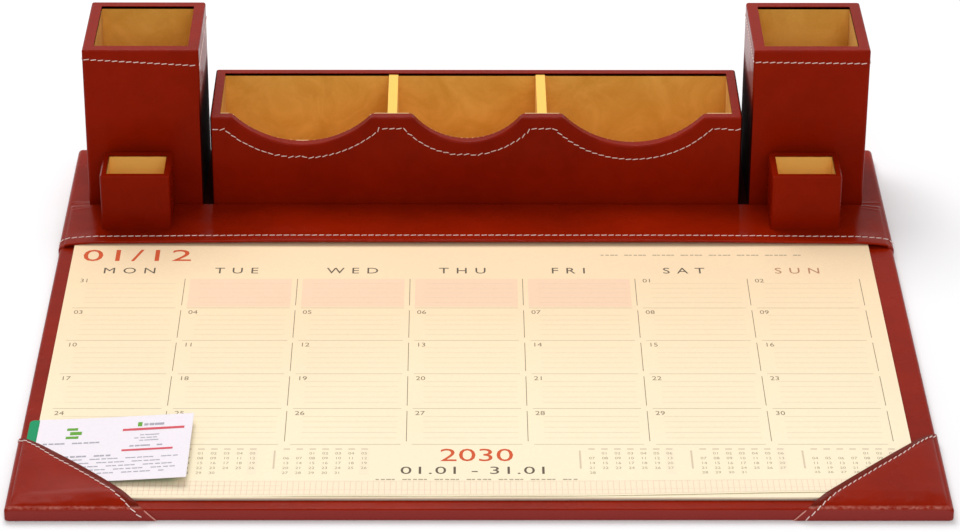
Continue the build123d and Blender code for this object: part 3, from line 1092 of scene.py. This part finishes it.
class DeskSetFlap(bpy.types.Operator):
    """Folds the flap's leather over the pad and round the base, and sews its edge"""

    bl_idname = "desk_set.flap"
    bl_label = "Flap"

    def execute(self, context):
        values = context.scene.desk_set
        given = values.leather
        front = FLAP_FRONT + given.hem_radius
        under = math.pi * given.hem_radius + given.hem_return
        side, rear = BASE_HALF_X - given.edge_radius, BASE_HALF_Y - given.edge_radius
        drop = side_drop(given.edge_radius, given.hang)
        x_lines = lines(
            -side - drop, (-side, 0.7 * MM), (-224 * MM, 1.0 * MM), (224 * MM, 5 * MM),
            (side, 1.0 * MM), (side + drop, 0.7 * MM),
        )
        y_lines = lines(
            front - under, (front, 0.3 * MM), (FLAP_FRONT + 14 * MM, 0.8 * MM),
            (CREASE - 14 * MM, 2 * MM), (CREASE + 7 * MM, 0.5 * MM), (rear, 8 * MM),
            (rear + drop, 0.7 * MM),
        )
        sheet = flat_sheet("flap_leather", x_lines, y_lines)
        shape(sheet, lambda x, y: flap_place(values, x, y))
        thicken(sheet, given.thickness)
        smooth(sheet, 50)
        dress(sheet, leather(values, "soft"), ROOT, "red_brown_leather",
              "flap_cover", "flap_backing")
        seam_y = FLAP_FRONT + values.thread.flap_inset

        def place(u, v):
            return flap_place(values, u, v)

        seam = [
            (place(x, seam_y), surface_normal(place, x, seam_y))
            for x in steps(-side - drop + 0.8 * MM, side + drop - 0.8 * MM, 0.5 * MM)
        ]
        sew(values, seam, "flap_stitching", ROOT)
        return {"FINISHED"}


def pocket_height(values, side, x, y):
    """Height of a corner pocket: full over the pad, falling to the edges of the base."""
    given = values.leather
    beside, ahead = BASE_HALF_X - abs(x), BASE_HALF_Y + y
    leg = LEG[side]
    from_cut = (leg - beside - ahead) / math.sqrt(2)
    along = min(max(0.5 + (beside - ahead) / (2 * leg), 0), 1)
    bulge, skew, power, full = {
        "left": (given.bulge_left, 1.36, 0.32, 14 * MM),
        "right": (given.bulge_right, 1.0, 0.4, 14 * MM),
    }[side]
    bulge *= math.sin(math.pi * along**skew) * (1 - ease(from_cut, 2 * MM, 34 * MM))
    dip = 0.35 * MM * (1 - ease(from_cut, 0, 2.6 * MM))
    seam = 0.2 * MM * hump(from_cut, values.thread.pocket_inset, 0.8 * MM)
    foot = given.edge_radius
    side_level = min(max((beside - foot) / (full - foot), 0), 1) ** power
    level = side_level * min(max((ahead - foot) / (12 * MM - foot), 0), 1) ** 0.6
    crumple = 0.3 * wobble(x, y, 170, 3) * hump(ahead, 5.5 * MM, 3 * MM)
    crumple *= ease(ahead, foot, 4 * MM)
    return DECK_TOP + (POCKET_TOP - DECK_TOP + bulge - dip - seam) * level + crumple * MM


class DeskSetPockets(bpy.types.Operator):
    """Folds the corner pockets over the pad and round the base, and sews their edges"""

    bl_idname = "desk_set.pockets"
    bl_label = "Corner pockets"

    def execute(self, context):
        values = context.scene.desk_set
        for side in ("left", "right"):
            self.pocket(values, side, -1 if side == "left" else 1)
        return {"FINISHED"}

    def pocket(self, values, side, way):
        given = values.leather
        drop = side_drop(given.edge_radius, given.hang)
        flat_x, flat_y = BASE_HALF_X - given.edge_radius, BASE_HALF_Y - given.edge_radius
        inner_x = BASE_HALF_X - LEG[side] - drop
        inner_y = BASE_HALF_Y - LEG[side] - drop
        x_lines = lines(
            inner_x, (flat_x - 8 * MM, 2 * MM), (flat_x, 0.8 * MM), (flat_x + drop, 0.6 * MM)
        )
        y_lines = lines(
            inner_y, (flat_y - 8 * MM, 2 * MM), (flat_y, 0.6 * MM), (flat_y + drop, 0.6 * MM)
        )
        if way < 0:
            x_lines = [-x for x in reversed(x_lines)]
        sheet = flat_sheet(f"pocket_{side}", x_lines, [-y for y in reversed(y_lines)])
        reach = (BASE_HALF_X + BASE_HALF_Y - LEG[side]) / math.sqrt(2)
        cut(sheet, (-way, 1), [-reach - d * MM for d in (6.0, 4.8, 4.0, 3.2, 2.4, 1.6, 0.8, 0.3)])
        cut(sheet, (-way, 1), [-reach], clear=True)

        def place(x, y):
            return over_edge(
                x, y, given.edge_radius, lambda u, v: pocket_height(values, side, u, v), given.hang
            )

        shape(sheet, place)
        thicken(sheet, given.thickness + 0.1 * MM)
        add_modifier(sheet, "BEVEL", width=0.2 * MM, segments=2, limit_method="ANGLE",
                     angle_limit=math.radians(60))
        smooth(sheet, 50)
        dress(sheet, leather(values, side), ROOT, "red_brown_leather", f"corner_pocket_{side}")
        past = drop - given.edge_radius - 0.6 * MM
        end = LEG[side] - values.thread.pocket_inset * math.sqrt(2) + past
        seam = []
        for beside in steps(-past, end, 0.4 * MM):
            inset = values.thread.pocket_inset * (0.4 + 0.6 * ease(beside, -2 * MM, 26 * MM))
            leg = LEG[side] - inset * math.sqrt(2)
            x, y = way * (BASE_HALF_X - beside), leg - beside - BASE_HALF_Y
            seam.append((place(x, y), surface_normal(place, x, y)))
        sew(values, seam, f"pocket_{side}_stitching", ROOT)


def page_height(x, y):
    """Height of the printed sheet, which stands a little off the pad at its front."""
    lifted = (1 - ease(y - PAGE_FRONT, 0, 14 * MM)) * ease(x, -132 * MM, -90 * MM)
    return PAD_TOP + lifted * (0.34 + 0.16 * wobble(x, 0, 22)) * MM


def page_front(x):
    """Where the sheet's front edge lies: it was pulled askew at the right."""
    return PAGE_FRONT + 4.4 * MM * ease(x, 30 * MM, 215 * MM)


def askew(x, y):
    """Where a point of the sheet lies once its front edge is pulled askew."""
    back = 1 - min((y - PAGE_FRONT) / (30 * MM), 1)
    return y + (page_front(x) - PAGE_FRONT) * back


def print_on_page(obj, values, kind, name):
    """Lays a flat figure on the sheet as print."""
    choose(obj)
    for vertex in obj.data.vertices:
        place = vertex.co
        place.z = page_height(place.x, place.y) + values.paper.lift
        place.y = askew(place.x, place.y)
    named(name)
    return dress(obj, ink(values, kind), PLANNER, "cream_paper")


def blocks(rectangles, name):
    """Flat rectangles (x0, x1, y0, y1) in one mesh."""
    deselect()
    bpy.ops.mesh.primitive_plane_add(size=1)
    master = named("block")
    places = [
        Matrix.Translation(((x0 + x1) / 2, (y0 + y1) / 2, 0))
        @ Matrix.Diagonal((x1 - x0, y1 - y0, 1, 1))
        for x0, x1, y0, y1 in rectangles
    ]
    return copies(master, places, name)


def lettering(words, x, y, height, stretch=1.0, spacing=1.0):
    """Flat figures as a mesh.  x and y are their lower left, and height is their own."""
    deselect()
    bpy.ops.object.text_add(location=(0, 0, 0))
    text = bpy.context.active_object
    text.data.body = words
    text.data.size = height / FIGURE_SHARE
    text.data.space_character = spacing
    text.data.resolution_u = 3
    bpy.ops.object.convert(target="MESH")
    obj = bpy.context.active_object
    obj.location = (x, y, 0)
    obj.scale = (stretch, 1, 1)
    settle()
    return obj


class DeskSetPage(bpy.types.Operator):
    """Lays the month's sheet on the pad and prints it"""

    bl_idname = "desk_set.page"
    bl_label = "Printed sheet"

    def execute(self, context):
        values = context.scene.desk_set
        self.values, self.given = values, values.paper
        self.sheet()
        self.fields()
        self.figures()
        self.small_months()
        return {"FINISHED"}

    def sheet(self):
        x_lines = steps(PAD_LEFT + 0.3 * MM, PAD_RIGHT - 0.2 * MM, 6 * MM)
        y_lines = lines(
            PAGE_FRONT, (PAGE_FRONT + 30 * MM, 1.5 * MM), (PAD_REAR - 0.6 * MM, 12 * MM)
        )
        page = flat_sheet("month_sheet", x_lines, y_lines)

        def place(x, y):
            return Vector((x, askew(x, y), page_height(x, y)))

        shape(page, place)
        thicken(page, 0.08 * MM)
        smooth(page, 40)
        dress(page, material("paper", paper_maker, self.given), PLANNER, "cream_paper",
              "planner_top_sheet")

    def corner(self, column, row):
        """The rear left corner of a day's field."""
        given = self.given
        return (
            given.first_column + column * given.column,
            FLAP_FRONT - given.first_row - row * given.row,
        )

    def fields(self):
        given = self.given
        borders, uprights, rules, tints = [], [], [], []
        thin, gap = 0.2 * MM, 3.2 * MM
        for row in range(WEEKS):
            for column in range(DAYS):
                x, y = self.corner(column, row)
                x1, y1 = x + given.column, y - given.row
                borders.append((x + gap, x1 - gap, y1 - thin * 0.8, y1 + thin * 0.8))
                if column:
                    uprights.append((x - thin, x + thin, y1 + gap, y - gap * 0.9))
                if column == DAYS - 1:
                    uprights.append((x1 - thin, x1 + thin, y1 + gap, y - gap * 0.9))
                for i in range(1, 6):
                    level = y - 3 * MM - i * (given.row - 4 * MM) / 6
                    rules.append((x + 9 * MM, x1 - 5 * MM, level - thin / 2, level + thin / 2))
                if row == 0 and column in TINTED:
                    tints.append((x + gap, x1 - gap, y1 + 1.6 * MM, y - gap * 0.9))
        self.print_blocks(tints, "tints", "tint", "print_tints", -0.02 * MM)
        self.print_blocks(rules, "rules", "rule", "print_rules")
        self.print_blocks(borders, "borders", "level", "print_borders")
        self.print_blocks(uprights, "uprights", "line", "print_uprights")
        self.squares()

    def squares(self):
        """The squared band along the front of the sheet."""
        squares, fine, piece = [], 0.2 * MM, 5 * MM
        x0, x1, y0, y1 = -196 * MM, 199 * MM, PAGE_FRONT + 1.6 * MM, -190.5 * MM
        starts = steps(x0, x1 - piece, piece)
        for level in steps(y0, y1, 5.2 * MM):
            squares += [(x, x + piece, level - fine, level + fine) for x in starts]
        squares += [(x - fine, x + fine, y0, y1) for x in steps(x0, x1, 3.1 * MM)]
        self.print_blocks(squares, "squares", "grid", "print_squares")
        band = [(x, x + piece, y0, y1) for x in starts]
        self.print_blocks(band, "band", "pale", "print_band", -0.03 * MM)

    def print(self, obj, kind, name, lower=0.0):
        made = print_on_page(obj, self.values, kind, name)
        if lower:
            for vertex in made.data.vertices:
                vertex.co.z += lower

    def print_blocks(self, rectangles, label, kind, name, lower=0.0):
        self.print(blocks(rectangles, label), kind, name, lower)

    def figures(self):
        days, headings, last = [], [], []
        for column, name in enumerate(DAY_NAMES):
            x, y = self.corner(column, 0)
            words = lettering(name, x + 17 * MM, y + 4.0 * MM, 7.2 * MM, spacing=1.75)
            (last if column == DAYS - 1 else headings).append(words)
        number = 1
        for row in range(WEEKS):
            for column in range(DAYS):
                if row == 0 and column in TINTED:
                    continue
                x, y = self.corner(column, row)
                shown = 31 if row == 0 and column == 0 else number
                days.append(
                    lettering(f"{shown:02d}", x + 4.4 * MM, y - 7.2 * MM, 4.4 * MM, 0.9)
                )
                number += shown == number
        self.print(join(days, "days"), "line", "print_days")
        self.print(join(headings, "headings"), "figure", "print_headings")
        self.print(join(last, "last_heading"), "rest", "print_last_heading")
        large = [
            lettering("01/12", -238 * MM, 62 * MM, 14.5 * MM, 1.3, spacing=1.1),
            lettering("2030", -21.8 * MM, -169.7 * MM, 13.2 * MM, 1.09),
        ]
        self.print(join(large, "large"), "accent", "print_large")
        title = lettering("01.01 - 31.01", -43 * MM, -183.0 * MM, 7.6 * MM, 1.24, spacing=1.12)
        self.print(title, "figure", "print_title")
        dashes, half = [], 0.55
        for start, end, level in DASH_LINES:
            places = steps(start * MM, end * MM, 2.9 * MM)
            for i, x in enumerate(places[:-1]):
                if i % 6 != 4:
                    length = (1.7 + i % 3 * 0.4) * MM
                    dashes.append((x, x + length, (level - half) * MM, (level + half) * MM))
        self.print_blocks(dashes, "dashes", "level", "print_dashes")

    def small_months(self):
        """The months beside the title: plain numbers with bars for their headings."""
        made, bars, tints = [], [], []
        pitch, row_pitch, height, top = 7.1 * MM, 5.1 * MM, 2.5 * MM, -157.6 * MM
        for start, first, length in SMALL_MONTHS:
            x = start * MM
            for day in range(length):
                column, row = (day + first) % DAYS, (day + first) // DAYS
                across, along = x + column * pitch, top - (row + 1) * row_pitch
                made.append(lettering(f"{day + 1:02d}", across, along, height, 0.95))
            for column in range(DAYS):
                across = x + column * pitch
                bars.append((across, across + 3.6 * MM, top, top + 1.2 * MM))
            bars.append((x - 5.2 * MM, x - 4.2 * MM, top - 20 * MM, top - 1 * MM))
            last = x + (DAYS - 1) * pitch
            tints.append((last - 0.8 * MM, last + 4.6 * MM, top - 26 * MM, top + 1.6 * MM))
        self.print(join(made, "small"), "level", "print_small_months")
        self.print_blocks(bars, "bars", "rule", "print_month_bars")
        self.print_blocks(tints, "sundays", "pale", "print_month_tints", -0.02 * MM)


def card_height(values, x, low):
    """Height of a card's underside: it tilts up towards its free end."""
    t = max((x - CARD_LEFT) / (CARD_RIGHT - CARD_LEFT), 0)
    return low + values.card.rise * t**1.3


class DeskSetCards(bpy.types.Operator):
    """Makes the two cards in the left pocket and prints the white one"""

    bl_idname = "desk_set.cards"
    bl_label = "Cards"

    def execute(self, context):
        values = context.scene.desk_set
        given = values.card
        low = BACK_CARD_LOW + 0.32 * MM
        self.card(values, "white_card", CARD_LEFT, low, given.tone, "note_card", "white_card")
        self.card(values, "coloured_card", BACK_CARD_LEFT, BACK_CARD_LOW - 0.01 * MM, given.back,
                  "back_card", "green_card", corner=3 * MM, shorter=2 * MM)
        self.marks(values, low)
        return {"FINISHED"}

    def card(self, values, name, left, low, tone, node, slot, corner=0.0, shorter=0.0):
        x_lines = steps(left, left + CARD_RIGHT - CARD_LEFT - 0.3 * MM, 1.5 * MM)
        y_lines = steps(CARD_FRONT + shorter, CARD_REAR, 2 * MM)
        card = flat_sheet(name, x_lines, y_lines)
        if corner:
            for i in range(1, 6):
                angle = math.radians(90 + 15 * i)
                way = (math.cos(angle), math.sin(angle))
                middle = (left + corner, CARD_REAR - corner)
                cut(card, way, [middle[0] * way[0] + middle[1] * way[1] + corner], clear=True)
        thickness = values.card.thickness - 0.02 * MM
        shape(card, lambda x, y: Vector((x, y, card_height(values, x, low) + thickness)))
        thicken(card, thickness)
        smooth(card, 40)
        dress(card, material(name, card_maker, tuple(tone)), CARDS, slot, node)

    def print(self, values, obj, name, kind, tone, low):
        choose(obj)
        for vertex in obj.data.vertices:
            top = card_height(values, vertex.co.x, low) + values.card.thickness
            vertex.co.z = top + 0.04 * MM
        named(name)
        dress(obj, material(kind, ink_maker, tuple(tone)), CARDS, "white_card")

    def marks(self, values, low):
        given = values.card
        x, y = CARD_LEFT, CARD_REAR

        def places(*rectangles):
            return [
                (x + x0 * MM, x + x1 * MM, y - y1 * MM, y - y0 * MM)
                for x0, x1, y0, y1 in rectangles
            ]

        bars = blocks(places(*CARD_BARS), "bars")
        self.print(values, bars, "card_bars", "ink_card_bar", given.bar, low)
        mark = blocks(places(*CARD_MARK), "mark")
        self.print(values, mark, "card_mark", "ink_card_mark", given.mark, low)
        dashes = []
        for start, end, level, thick in CARD_ROWS:
            dashes += [
                (a, a + 2.3 + (i % 3) * 0.35, level, level + thick)
                for i, a in enumerate(steps(start, end, 3.4)[:-1])
                if i % 6 != 4
            ]
        rows = blocks(places(*dashes), "rows")
        self.print(values, rows, "card_lines", "ink_card_line", given.line, low)


def rail(name, points, rise, depth):
    """A thin strip that stands along a path, its thickness on one side by its sign."""
    strip = flat_sheet(name, [float(i) for i in range(len(points))], [0.0, 1.0])
    for vertex in strip.data.vertices:
        x, y, z = points[round(vertex.co.x)]
        vertex.co = (x, y, z + rise * round(vertex.co.y))
    add_modifier(strip, "SOLIDIFY", thickness=depth, offset=1)
    return strip


class DeskSetLinings(bpy.types.Operator):
    """Adds the cut edge of the suede under the rims of the boxes"""

    bl_idname = "desk_set.linings"
    bl_label = "Lining edges"

    def execute(self, context):
        values = context.scene.desk_set
        given = values.suede
        edge = material("suede_edge", suede_maker, tuple(given.edge), tuple(given.edge))
        for box in BOXES:
            (x0, y0, _), (x1, y1, top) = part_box(f"{box}_lining")
            x0, x1, y0, y1 = x0 + LINING, x1 - LINING, y0 + LINING, y1 - LINING
            level = top - 0.35 * MM
            path = [(x1, y0, level), (x1, y1, level), (x0, y1, level), (x0, y0, level)]
            if box != "tray":
                path = [(x0, y0, level), *path]
            strip = rail(f"{box}_lining_edge", path, given.edge_height, given.edge_proud)
            dress(strip, edge, ROOT, "tan_suede")
        (x0, y0, _), (x1, _, _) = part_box("tray_lining")
        inner = span("tray_divider_left_board", 1)[0] - 0.12 * MM
        path = [
            (x, inner, z - 0.4 * MM)
            for x, z in tray_rim(0.5 * MM)
            if x0 + LINING < x < x1 - LINING
        ]
        strip = rail("tray_front_lining_edge", path, 0.55 * MM, -0.45 * MM)
        dress(strip, edge, ROOT, "tan_suede")
        return {"FINISHED"}


def tray_rim(pitch):
    """The outline (x, z) of the tray's scalloped rim at an even pitch."""
    (x0, y0, _), (x1, _, top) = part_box("tray_cover")
    heights = {}
    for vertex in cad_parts["tray_cover"].data.vertices:
        x, y, z = vertex.co
        if y0 + 2 * MM < y < y0 + 6.5 * MM and z > top - 25 * MM:
            key = round(x, 4)
            heights[key] = max(z, heights.get(key, 0))
    heights[x0], heights[x1] = top, top
    known = sorted(heights.items())
    rim, index = [], 0
    for x in steps(x0, x1, pitch):
        while index < len(known) - 2 and known[index + 1][0] < x:
            index += 1
        (xa, za), (xb, zb) = known[index], known[index + 1]
        t = min(max((x - xa) / max(xb - xa, 1e-6), 0), 1)
        rim.append((x, za + (zb - za) * t))
    return rim


def box_seams(node, level):
    """A seam on each face of a box: level gives its height at a place along X."""
    (x0, y0, _), (x1, y1, _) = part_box(node)
    corners = {
        "front": ((x0, y0), (x1, y0), (0, -1)),
        "right": ((x1, y0), (x1, y1), (1, 0)),
        "back": ((x1, y1), (x0, y1), (0, 1)),
        "left": ((x0, y1), (x0, y0), (-1, 0)),
    }
    margin = 0.6 * MM
    for face, ((ax, ay), (bx, by), (nx, ny)) in corners.items():
        length = math.hypot(bx - ax, by - ay)
        seam = []
        for along in steps(margin, length - margin, 0.5 * MM):
            x, y = ax + (bx - ax) * along / length, ay + (by - ay) * along / length
            seam.append((Vector((x, y, level(x))), Vector((nx, ny, 0))))
        yield face, seam


class DeskSetStitching(bpy.types.Operator):
    """Sews the rims of the pen cups and the tray"""

    bl_idname = "desk_set.stitching"
    bl_label = "Box stitching"

    def execute(self, context):
        values = context.scene.desk_set
        for side in ("left", "right"):
            node = f"pen_cup_{side}_cover"
            (x0, _, _), (x1, _, top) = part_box(node)
            low_end, high_end = SEAM_DROP[side]

            def level(x):
                t = (x - x0) / (x1 - x0)
                return top - (high_end + (low_end - high_end) * t) * MM

            for face, seam in box_seams(node, level):
                sew(values, seam, f"pen_cup_{side}_{face}_stitching", ROOT)
        self.tray(values)
        return {"FINISHED"}

    def tray(self, values):
        """The tray's front seam follows the scalloped rim at an even distance."""
        (x0, y0, _), (x1, _, _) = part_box("tray_cover")
        inset = values.thread.tray_inset
        rim = tray_rim(0.5 * MM)
        seam = []
        for x in steps(x0 + 1 * MM, x1 - 1 * MM, 0.5 * MM):
            z = min(
                height - math.sqrt(inset**2 - (x - place) ** 2)
                for place, height in rim
                if abs(x - place) < inset
            )
            seam.append((Vector((x, y0, z)), Vector((0, -1, 0))))
        sew(values, seam, "tray_front_stitching", ROOT)


class DESKSET_PT_panel(bpy.types.Panel):
    """Lists the settings and the steps of the desk set"""

    bl_label = "Desk set"
    bl_idname = "DESKSET_PT_panel"
    bl_space_type = "VIEW_3D"
    bl_region_type = "UI"
    bl_category = "Desk set"

    def draw(self, context):
        values = context.scene.desk_set
        for part in ("leather", "suede", "thread", "paper", "card", "stage"):
            box = self.layout.box()
            box.label(text=part.title())
            group = getattr(values, part)
            for key in group.__annotations__:
                box.prop(group, key)
        for step in STEPS:
            self.layout.operator(step.bl_idname)


STEPS = (
    DeskSetStage,
    DeskSetBoards,
    DeskSetFlap,
    DeskSetPockets,
    DeskSetPage,
    DeskSetCards,
    DeskSetLinings,
    DeskSetStitching,
)
SETTINGS = (
    LeatherSettings, SuedeSettings, ThreadSettings, PaperSettings, CardSettings, StageSettings,
    DeskSetSettings,
)


def register():
    for made in (*SETTINGS, *STEPS, DESKSET_PT_panel):
        bpy.utils.register_class(made)
    bpy.types.Scene.desk_set = bpy.props.PointerProperty(type=DeskSetSettings)


def unregister():
    del bpy.types.Scene.desk_set
    for made in reversed((*SETTINGS, *STEPS, DESKSET_PT_panel)):
        bpy.utils.unregister_class(made)


def main():
    register()
    for step in STEPS:
        group, name = step.bl_idname.split(".")
        getattr(getattr(bpy.ops, group), name)()


if __name__ == "__main__":
    main()
